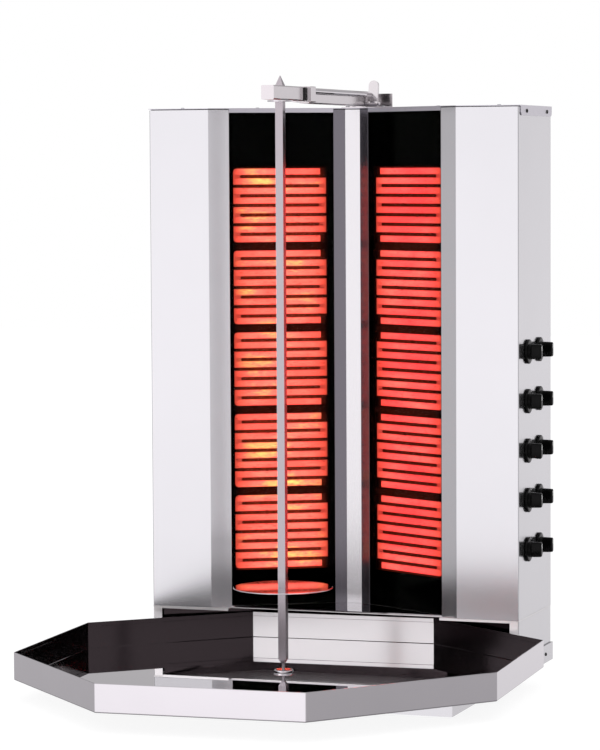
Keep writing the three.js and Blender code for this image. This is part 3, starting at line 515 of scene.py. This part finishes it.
LOOKS = {
    "cabinet_lid": (lid_steel, 0.5),
    # painted light: the deck gets the whitened steel
    "cabinet_deck": (satin_painted_light_steel, 0.5),
    "rear_panel": (sheet_steel, 0.3),
    "base_rear": (sheet_steel, 0.3),
    # painted shade: the splash wall gets the near-black steel
    "splash_wall": (painted_shade_steel, 0.5),
    "v_ledge": (mirror_steel, 0.4),
    "plinth_cover": (wing_steel, 1.2),
    "plinth_bottom": (zinc, 0.3),
    "spit_bar": (spit_steel, 0.4),
    "arm_head": (arm_steel, 0.3),
    "arm_clamp": (arm_steel, 0.3),
    "arm_bar": (arm_steel, 0.3),
    "arm_bracket": (arm_steel, 0.4),
    "arm_pin": (mirror_steel, 0.4),
    "lock_lever": (arm_steel, 0.9),
    "lock_rod": (mirror_steel, 0.5),
    "spit_guide": (mirror_steel, 0.4),
    "head_buffer": (rubber, 0.8),
    "disc_pin": (mirror_steel, 0.5),
    "cable_gland": (cast_black, 0.4),
    "terminal_block": (cream, 0.5),
    "regulator_rail": (cream, 0.5),
    "gear_motor": (motor_paint, 0.8),
    "spit_bearing": (zinc, 0.3),
    "drive_shaft": (zinc, 0.3),
    "spit_pulley": (zinc, 0.3),
    "motor_pulley": (zinc, 0.3),
    "drive_belt": (rubber, 0.5),
    "heater_tray_left": (fibres[-1], 0.5),
    "heater_tray_right": (fibres[1], 0.5),
    "glass_left": (glass, 0.3),
    "glass_right": (glass, 0.3),
}
for node, (material, edge) in LOOKS.items():
    piece = NODES[node]
    piece.data.materials.clear()
    piece.data.materials.append(material)
    piece.data.polygons.foreach_set("use_smooth", [True] * len(piece.data.polygons))
    piece.data.set_sharp_from_angle(angle=math.radians(30))
    bevel(piece, edge * MM, 2, 32)

# ------------------------------------------------------------------ glowing ribbons


def glow(sign):
    """Ribbons glow along the middle of each bar, with hot spots, and are dimmer at the turns."""
    shader = Shader("glow_left" if sign < 0 else "glow_right", Roughness=0.7)
    shader.set("Base Color", (0.2, 0.04, 0.025, 1))
    place = PanelPlace(shader, sign)
    drift = shader.noise(9, (1, 1, 2.6), detail=2)
    grain = shader.noise(260, (0.35, 0.35, 1.4), detail=3)
    heat = shader.math("ADD", drift, shader.math("MULTIPLY", shader.math("SUBTRACT", grain, 0.5), 0.3))
    if sign < 0:
        stops = [
            (0.36, (1.0, 0.075, 0.055)),
            (0.56, (1.0, 0.120, 0.085)),
            (0.66, (1.0, 0.250, 0.085)),
            (0.78, (1.0, 0.460, 0.110)),
        ]
    else:
        stops = [
            (0.35, (0.90, 0.035, 0.035)),
            (0.55, (0.93, 0.055, 0.05)),
            (0.75, (0.98, 0.09, 0.07)),
        ]
    inner = shader.ramp(heat, stops)
    middle = shader.math("MAXIMUM", place.middle, 0.0)
    turns = shader.node("Mix", {"Factor": middle}, data_type="RGBA")
    turns.inputs["A"].default_value = (0.62, 0.055, 0.03, 1)
    shader.tree.links.new(inner, turns.inputs["B"])
    shader.set("Emission Color", turns.outputs["Result"])
    rim = shader.math("MULTIPLY", shader.math("POWER", place.edge, 5.0), 0.85)
    rim = shader.math("MULTIPLY", rim, middle)
    specks = shader.math("MULTIPLY", shader.math("LESS_THAN", grain, 0.36), 0.25)
    level = shader.math("SUBTRACT", shader.span(middle, 0.42, 1.0), shader.math("ADD", rim, specks))
    shader.set("Emission Strength", shader.math("MULTIPLY", level, GLASS_GAIN))
    return shader.material


for label, sign in (("left", -1), ("right", 1)):
    material = glow(sign)
    for row in range(1, 6):
        ribbon = NODES[f"element_{label}_{row}"]
        ribbon.data.materials.clear()
        ribbon.data.materials.append(material)

# Black sheet frames close the view past the heater trays: painted shade, standing in for the dark
# inside of the cabinet seen through the glass.


def mask_mesh(name, sign):
    front, back = 6.3 * MM, 7.3 * MM  # depths behind the panel's plane
    gap, lap = 3 * MM, 9 * MM

    def corners(near, far, low, high):
        return [(near, low), (far, low), (far, high), (near, high)]

    outer = corners(POST_EDGE - lap, TRIM_INNER + lap, WING_BOTTOM + 3 * MM, WING_TOP - 1 * MM)
    inner = corners(ELEMENT_NEAR - gap, ELEMENT_FAR + gap, ELEMENT_BOTTOM - gap, ELEMENT_TOP + gap)

    def place(distance, z, depth):
        x = sign * (distance * math.cos(V_ANGLE) + depth * math.sin(V_ANGLE))
        return (x, APEX_Y - distance * math.sin(V_ANGLE) + depth * math.cos(V_ANGLE), z)

    loops = ((outer, front), (outer, back), (inner, back), (inner, front))
    return rings_mesh(name, [[place(d, z, depth) for d, z in loop] for loop, depth in loops])


for label, sign in (("left", -1), ("right", 1)):
    name = f"element_mask_{label}"
    new_piece(name, mask_mesh(name, sign), painted_shade_black, "cabinet")

# ------------------------------------------------------------------ tray

TRAY_TURN = math.radians(2.8)  # the loose tray stands a little askew
TRAY_CORNERS = [
    (-194, -508),
    (194, -508),
    (464, -211),
    (464, 185),
    (190, 415),
    (-190, 415),
    (-464, 185),
    (-464, -211),
]


def turns(corners):
    """Each corner of a closed outline, with the directions that arrive at it and leave it."""
    points = [Vector(c) for c in corners]
    for before, here, after in zip(points[-1:] + points, points, points[1:] + points[:1]):
        yield here, (here - before).normalized(), (after - here).normalized()


def inset_corners(corners, distance):
    out = []
    for here, arriving, leaving in turns(corners):
        bisector = Vector((-(arriving.y + leaving.y), arriving.x + leaving.x)) / 2
        out.append(here + bisector * (distance / bisector.length_squared))
    return out


def softened(corners, radius, steps=3):
    """A closed outline whose corners are arcs."""
    out = []
    for here, arriving, leaving in turns(corners):
        turn = arriving.angle_signed(leaving)
        reach = radius * math.tan(abs(turn) / 2)
        start = here - arriving * reach
        centre = start + Vector((-arriving.y, arriving.x)) * radius * -math.copysign(1, turn)
        for k in range(steps + 1):
            out.append(centre + Matrix.Rotation(-turn * k / steps, 2) @ (start - centre))
    return out


def tray_mesh():
    low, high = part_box("drip_tray")
    bottom, top = low.z, high.z
    corners = [(x * MM, y * MM) for x, y in TRAY_CORNERS]
    wall, hem, fold = 1.2 * MM, 1.8 * MM, 2.5 * MM

    def ring(distance, z):
        radius = max(2.0 * MM - distance * 0.5, 0.6 * MM)
        outline = softened(inset_corners(corners, distance), radius)
        return [(p.x, p.y, z) for p in outline]

    profile = [(fold, bottom)]
    quarter = math.pi / 2
    for i in range(1, 5):
        a = quarter * i / 4
        profile.append((fold * (1 - math.sin(a)), bottom + fold * (1 - math.cos(a))))
    support = 0.4 * MM  # narrow strips beside the folds, which keep the walls flat
    profile.append((0, bottom + fold + support))
    profile.append((0, top - hem / 2 - support))
    profile.append((0, top - hem / 2))
    for i in range(1, 7):
        a = math.pi * i / 6
        profile.append((hem / 2 * (1 - math.cos(a)), top - hem / 2 + hem / 2 * math.sin(a)))
    profile.append((hem, top - 8 * MM))
    profile.append((wall, top - 8.6 * MM))
    profile.append((wall, top - 9.0 * MM))
    inner_fold = fold - wall
    floor = bottom + 1.5 * MM
    profile.append((wall, floor + inner_fold + support))
    for i in range(0, 5):
        a = quarter * i / 4
        profile.append((wall + inner_fold * (1 - math.cos(a)), floor + inner_fold * (1 - math.sin(a))))
    bm = bmesh.new()
    loops = new_loops(bm, [ring(d, z) for d, z in profile])
    join_loops(bm, loops)
    hole_radius, hole_sides = 19.3 * MM, 64
    hole = new_loops(bm, [circle(hole_radius, z, hole_sides) for z in (bottom, floor)])
    join_loops(bm, hole)
    fill_between(bm, loops[0], hole[0])
    fill_between(bm, loops[-1], hole[1])
    bmesh.ops.rotate(bm, verts=bm.verts, matrix=Matrix.Rotation(TRAY_TURN, 3, "Z"))
    return finished(bm, "tray_pan")


tray_pan = new_piece(
    "tray_pan", tray_mesh(), tray_steel, "tray", ["drip_tray"], smooth=25
)
for material in (floor_mirror, satin_painted_light_steel, painted_shade_steel):
    tray_pan.data.materials.append(material)
MIRROR_FLOOR, PAINTED_LIGHT_WALL, PAINTED_SHADE_WALL = 1, 2, 3
# Painted light and shade on the one sheet: the polished floor gets the mirror steel, the inner front
# and rear walls the whitened steel as painted light, and the other inner walls the near-black steel as
# painted shade.
for face in tray_pan.data.polygons:
    face.use_smooth = face.area < FLAT_AREA
    outwards = Vector((face.center.x, face.center.y, 0)).normalized()
    if face.normal.z > 0.9 and face.area > FLAT_AREA:
        face.material_index = MIRROR_FLOOR
    elif face.normal.dot(outwards) < -0.5:
        face.material_index = PAINTED_LIGHT_WALL if abs(face.normal.y) > 0.9 else PAINTED_SHADE_WALL

# ------------------------------------------------------------------ socket and disc

socket_low, socket_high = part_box("spit_socket")
top = socket_high.z
rim = socket_high.x
socket_profile = [
    (0, socket_low.z),
    (rim - 1 * MM, socket_low.z),
    (rim, socket_low.z + 1 * MM),
    (rim, top - 1.8 * MM),
    (rim - 0.4 * MM, top - 0.8 * MM),
    (rim - 1.2 * MM, top - 0.15 * MM),
    (rim - 2.2 * MM, top),
    (rim - 3.4 * MM, top - 0.2 * MM),
    (rim - 6 * MM, top - 1.3 * MM),
    (rim - 9 * MM, top - 2.1 * MM),
    (rim - 12 * MM, top - 2.3 * MM),
    (3.5 * MM, top - 2.3 * MM),
    (3.3 * MM, top - 2.6 * MM),
    (3.3 * MM, top - 5.9 * MM),
    (0, top - 5.9 * MM),
]
new_piece(
    "socket_dish",
    turned_mesh("socket_dish", socket_profile, 72),
    mirror_steel,
    "spit_drive",
    ["spit_socket"],
)


def disc_mesh():
    low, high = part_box("meat_disc")
    radius, half = high.x, (high.z - low.z) / 2
    middle = (high.z + low.z) / 2
    hole = 7.8 * MM  # half of the square hole
    edge, sides = 0.8 * MM, 128
    profile = [
        (radius - edge, -half),
        (radius, -half * 0.3),
        (radius, half * 0.3),
        (radius - edge, half),
    ]
    bm = bmesh.new()
    loops = new_loops(bm, [circle(r, middle + z, sides) for r, z in profile])
    join_loops(bm, loops)
    square = [(-hole, -hole), (hole, -hole), (hole, hole), (-hole, hole)]
    rims = new_loops(bm, [[(x, y, middle + z) for x, y in square] for z in (-half, half)])
    join_loops(bm, rims)
    fill_between(bm, loops[0], rims[0])
    fill_between(bm, loops[-1], rims[1])
    return finished(bm, "disc_plate")


new_piece("disc_plate", disc_mesh(), mirror_steel, "spit", ["meat_disc"])

# ------------------------------------------------------------------ knobs


GRIP_TIP = 29 * MM  # from the wing's face


def knob_mesh():
    """A knob about its own axis, which runs along +X from the wing's face at x = 0."""
    skirt_radius, skirt = 24 * MM, 5 * MM
    start = 0.5 * MM
    profile = [
        (0, start),
        (skirt_radius - 1 * MM, start),
        (skirt_radius, start + 0.6 * MM),
        (skirt_radius, start + skirt - 1.6 * MM),
        (skirt_radius - 0.4 * MM, start + skirt - 0.9 * MM),
        (skirt_radius - 1.4 * MM, start + skirt - 0.4 * MM),
        (skirt_radius - 5 * MM, start + skirt - 0.1 * MM),
        (16.5 * MM, start + skirt),
        (15.6 * MM, start + skirt + 0.8 * MM),
        (14.8 * MM, start + skirt + 3.0 * MM),
        (13.8 * MM, start + skirt + 3.8 * MM),
        (0, start + skirt + 4.0 * MM),
    ]
    body = turned_mesh("knob_body", profile, 56)
    body.transform(Matrix.Rotation(math.pi / 2, 4, "Y"))
    bm = bmesh.new()
    bm.from_mesh(body)
    # Grip bar: outlines of (y, z) stacked along x, waisted in the middle and rounded at its end.
    stations = [
        (start + skirt + 1 * MM, 1.06, 1.0),
        (start + skirt + 5 * MM, 0.98, 1.0),
        (start + skirt + 12 * MM, 0.92, 0.99),
        (GRIP_TIP - 4 * MM, 0.94, 0.97),
        (GRIP_TIP - 1.6 * MM, 0.93, 0.95),
        (GRIP_TIP - 0.5 * MM, 0.84, 0.90),
        (GRIP_TIP, 0.66, 0.82),
    ]
    half_y, half_z, corner = 6.2 * MM, 14.8 * MM, 3.2 * MM
    loops = []
    for x, wide, tall in stations:
        loop = []
        for quadrant, (sy, sz) in enumerate(((1, -1), (1, 1), (-1, 1), (-1, -1))):
            for k in range(5):
                a = math.pi / 2 * (quadrant - 1 + k / 4)
                y = sy * (half_y * wide - corner) + corner * math.cos(a)
                z = sz * (half_z * tall - corner) + corner * math.sin(a)
                loop.append(bm.verts.new((x, y, z)))
        loops.append(loop)
    join_loops(bm, loops)
    bm.faces.new(loops[0])
    bm.faces.new(loops[-1])
    return finished(bm, "knob_shape")


def pointer_mesh():
    """The raised index line on the grip's end."""
    thick, wide, long, above = 0.4 * MM, 1.6 * MM, 9 * MM, 6 * MM
    middle = GRIP_TIP + 0.05 * MM
    bm = bmesh.new()
    bmesh.ops.create_cube(bm, size=1)
    for v in bm.verts:
        v.co = (middle + v.co.x * thick, v.co.y * wide, above + v.co.z * long)
    bmesh.ops.bevel(bm, geom=list(bm.edges), offset=0.15 * MM, segments=2, affect="EDGES")
    return finished(bm, "knob_pointer")


knob_data = knob_mesh()
pointer_data = pointer_mesh()
for column in ("front", "rear"):
    for row in range(1, 6):
        node = f"knob_{column}_{row}"
        low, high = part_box(node)
        centre = Vector((HALF, (low.y + high.y) / 2, (low.z + high.z) / 2))
        body = f"{column}_knob_{row}"
        shape = knob_data.copy()
        shape.transform(Matrix.Translation(centre))
        new_piece(f"knob_{column}_{row}_cap", shape, knob_black, body, [node])
        mark = pointer_data.copy()
        mark.transform(Matrix.Translation(centre))
        new_piece(f"knob_{column}_{row}_pointer", mark, white_mark, body)

# ------------------------------------------------------------------ screws


def screw_mesh(radius=4 * MM, height=2.2 * MM):
    """A pan head with a cross recess, standing on z = 0."""
    profile = [
        (0, -0.5 * MM),
        (radius * 0.9, -0.5 * MM),
        (radius, 0.15 * MM),
        (radius * 0.97, height * 0.45),
        (radius * 0.82, height * 0.82),
        (radius * 0.55, height * 0.97),
        (0, height),
    ]
    head = bpy.data.objects.new("screw_head", turned_mesh("screw_head", profile, 28))
    cross = bmesh.new()
    long, wide, middle = radius * 1.15, radius * 0.24, height * 0.9
    for turn in (0, math.pi / 2):
        made = bmesh.ops.create_cube(cross, size=1)["verts"]
        for v in made:
            v.co = Vector((v.co.x * long, v.co.y * wide, middle + v.co.z * height))
            v.co.rotate(Matrix.Rotation(turn, 3, "Z"))
    tool = bpy.data.objects.new("screw_cross", finished(cross, "screw_cross"))
    for made in (head, tool):
        bpy.context.scene.collection.objects.link(made)
    cutter = head.modifiers.new("cross", "BOOLEAN")
    cutter.operation = "DIFFERENCE"
    cutter.object = tool
    cutter.solver = "EXACT"
    cutter.use_self = True
    evaluated = head.evaluated_get(bpy.context.evaluated_depsgraph_get())
    result = bpy.data.meshes.new_from_object(evaluated)
    bpy.data.objects.remove(head)
    bpy.data.objects.remove(tool)
    return result


SCREW = screw_mesh()
SCREW_SPIN = 0.7  # radians by which each screw's cross is turned from the last one's


def add_screws(name, places, direction, body, material=zinc, size=1.0):
    """Screws with their heads facing a direction, as separate pieces that ride together."""
    turn = Vector((0, 0, 1)).rotation_difference(Vector(direction)).to_matrix().to_4x4()
    for i, place in enumerate(places, 1):
        shape = SCREW.copy()
        spin = Matrix.Rotation(SCREW_SPIN * i, 4, "Z")
        shape.transform(Matrix.Translation(place) @ turn @ spin @ Matrix.Scale(size, 4))
        new_piece(f"{name}_{i}", shape, material, body)


# The places below are in millimetres.
LID_SCREWS = [
    (-330, 340),
    (-330, 480),
    (-190, 395),
    (190, 395),
    (330, 340),
    (330, 480),
    (-120, 505),
    (120, 505),
]
LID_SIDE_SCREWS, LID_SCREW_DROP = (55, 206), 11
REAR_SCREWS_X, REAR_SCREWS_Z = (-365, 0, 365), (130, 450, 770, 1070)
PLINTH_SCREWS_Y, PLINTH_SCREW_Z = (-60, 240, 480), 17
BRACKET_SCREWS_X, BRACKET_SCREW_INSET, BRACKET_FOOT = (-38, 38), 10, 3.3

lid_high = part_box("cabinet_lid")[1]
lid_places = [(x * MM, y * MM, lid_high.z) for x, y in LID_SCREWS]
add_screws("lid_screw", lid_places, (0, 0, 1), "cabinet")
side_z = lid_high.z - LID_SCREW_DROP * MM
for label, sign in (("left", -1), ("right", 1)):
    side_places = [(sign * lid_high.x, FRONT + y * MM, side_z) for y in LID_SIDE_SCREWS]
    add_screws(f"lid_side_screw_{label}", side_places, (sign, 0, 0), "cabinet", cast_black)
rear_places = [(x * MM, BACK, z * MM) for x in REAR_SCREWS_X for z in REAR_SCREWS_Z]
add_screws("rear_screw", rear_places, (0, 1, 0), "cabinet")
plinth_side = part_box("plinth_cover")[1].x
for label, sign in (("right", 1), ("left", -1)):
    places = [(sign * plinth_side, y * MM, PLINTH_SCREW_Z * MM) for y in PLINTH_SCREWS_Y]
    add_screws(f"plinth_screw_{label}", places, (sign, 0, 0), "cabinet", cast_black, 0.9)
bracket_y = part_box("arm_bracket")[0].y + BRACKET_SCREW_INSET * MM
foot_top = lid_high.z + BRACKET_FOOT * MM
bracket_places = [(x * MM, bracket_y, foot_top) for x in BRACKET_SCREWS_X]
add_screws("bracket_screw", bracket_places, (0, 0, 1), "cabinet")

# ------------------------------------------------------------------ studio


def stage_floor():
    """A white sweep. Shiny faces look through it and see the studio all round."""
    bm = bmesh.new()
    bmesh.ops.create_grid(bm, x_segments=1, y_segments=1, size=12)
    floor = bpy.data.objects.new("floor", finished(bm, "floor"))
    bpy.context.scene.collection.objects.link(floor)
    floor.location.z = -0.0005
    shader = Shader("floor_white", Roughness=0.8)
    shader.set("Base Color", (0.93, 0.93, 0.935, 1))
    white = shader.node("Emission", {"Color": (1, 1, 1, 1), "Strength": 1.1})
    clear = shader.node("BsdfTransparent")
    rays = shader.node("LightPath")
    lit = shader.node("MixShader", {0: 0.8})
    seen = shader.node("MixShader", {0: rays.outputs["Is Glossy Ray"]})
    link = shader.tree.links.new
    link(shader.shader.outputs[0], lit.inputs[1])
    link(white.outputs[0], lit.inputs[2])
    link(lit.outputs[0], seen.inputs[1])
    link(clear.outputs[0], seen.inputs[2])
    link(seen.outputs[0], shader.tree.nodes["Material Output"].inputs["Surface"])
    floor.data.materials.append(shader.material)


def area_light(name, at, target, size, power, colour=(1, 1, 1)):
    data = bpy.data.lights.new(name, "AREA")
    data.shape = "RECTANGLE"
    data.size, data.size_y = size
    data.energy = power
    data.color = colour
    light = bpy.data.objects.new(name, data)
    bpy.context.scene.collection.objects.link(light)
    light.location = at
    light.rotation_mode = "QUATERNION"
    light.rotation_quaternion = (Vector(target) - Vector(at)).to_track_quat("-Z", "Y")
    light.visible_camera = False
    return light


# What shiny faces see round the horizon, as degrees to the right of straight ahead of the
# oven and brightness: brightest in front to the left, and darker at the sides.
HORIZON = [
    (-180, 0.95),
    (-150, 0.60),
    (-115, 0.72),
    (-80, 0.84),
    (-58, 0.90),
    (-40, 1.55),
    (-28, 1.75),
    (-8, 1.75),
    (8, 1.20),
    (24, 1.15),
    (41, 1.38),
    (76, 0.66),
    (110, 0.75),
    (150, 1.10),
    (180, 1.05),
]
BRIGHTEST = 1.8
# The same by how far a ray rises or falls: bright near the level of the oven, darker above
# and below it, and soft light overhead.
RISE = [
    (-1.0, 0.3),
    (-0.35, 0.5),
    (-0.14, 0.9),
    (-0.06, 1.0),
    (0.1, 0.85),
    (0.25, 0.45),
    (0.5, 0.7),
    (1.0, 0.9),
]


def fill_ramp(ramp_node, stops):
    elements = ramp_node.color_ramp.elements
    while len(elements) < len(stops):
        elements.new(0.5)
    for element, (position, value) in zip(elements, stops):
        element.position = position
        element.color = (value, value * 0.985, value, 1)


def world():
    """White behind the object, and a studio with dark sides for what shiny faces see."""
    made = bpy.data.worlds.new("studio")
    bpy.context.scene.world = made
    made.use_nodes = True
    tree = made.node_tree
    link = tree.links.new
    split = tree.nodes.new("ShaderNodeSeparateXYZ")
    link(tree.nodes.new("ShaderNodeTexCoord").outputs["Generated"], split.inputs[0])
    ahead = tree.nodes.new("ShaderNodeMath")
    ahead.operation = "MULTIPLY"
    ahead.inputs[1].default_value = -1
    link(split.outputs["Y"], ahead.inputs[0])
    heading = tree.nodes.new("ShaderNodeMath")
    heading.operation = "ARCTAN2"
    link(split.outputs["X"], heading.inputs[0])
    link(ahead.outputs[0], heading.inputs[1])
    share = tree.nodes.new("ShaderNodeMapRange")
    share.inputs["From Min"].default_value = -math.pi
    share.inputs["From Max"].default_value = math.pi
    link(heading.outputs[0], share.inputs["Value"])
    round_ramp = tree.nodes.new("ShaderNodeValToRGB")
    link(share.outputs["Result"], round_ramp.inputs["Fac"])
    fill_ramp(round_ramp, [(0.5 + angle / 360, value / BRIGHTEST) for angle, value in HORIZON])
    rise = tree.nodes.new("ShaderNodeMapRange")
    rise.inputs["From Min"].default_value = -1
    link(split.outputs["Z"], rise.inputs["Value"])
    height_ramp = tree.nodes.new("ShaderNodeValToRGB")
    link(rise.outputs["Result"], height_ramp.inputs["Fac"])
    fill_ramp(height_ramp, [((z + 1) / 2, value) for z, value in RISE])
    both = tree.nodes.new("ShaderNodeVectorMath")
    both.operation = "MULTIPLY"
    link(round_ramp.outputs["Color"], both.inputs[0])
    link(height_ramp.outputs["Color"], both.inputs[1])
    studio = tree.nodes.new("ShaderNodeBackground")
    studio.inputs["Strength"].default_value = BRIGHTEST
    link(both.outputs["Vector"], studio.inputs["Color"])
    white = tree.nodes["Background"]
    white.inputs["Color"].default_value = (1, 1, 1, 1)
    rays = tree.nodes.new("ShaderNodeLightPath")
    mix = tree.nodes.new("ShaderNodeMixShader")
    link(rays.outputs["Is Glossy Ray"], mix.inputs[0])
    link(white.outputs[0], mix.inputs[1])
    link(studio.outputs[0], mix.inputs[2])
    link(mix.outputs[0], tree.nodes["World Output"].inputs["Surface"])


stage_floor()
world()
area_light("key", (-2.5, -4.0, 3.2), (0, 0.2, 0.6), (2.5, 2.5), 14)
area_light("top", (0.5, 0.0, 3.5), (0, 0.2, 0.3), (3.0, 3.0), 10)
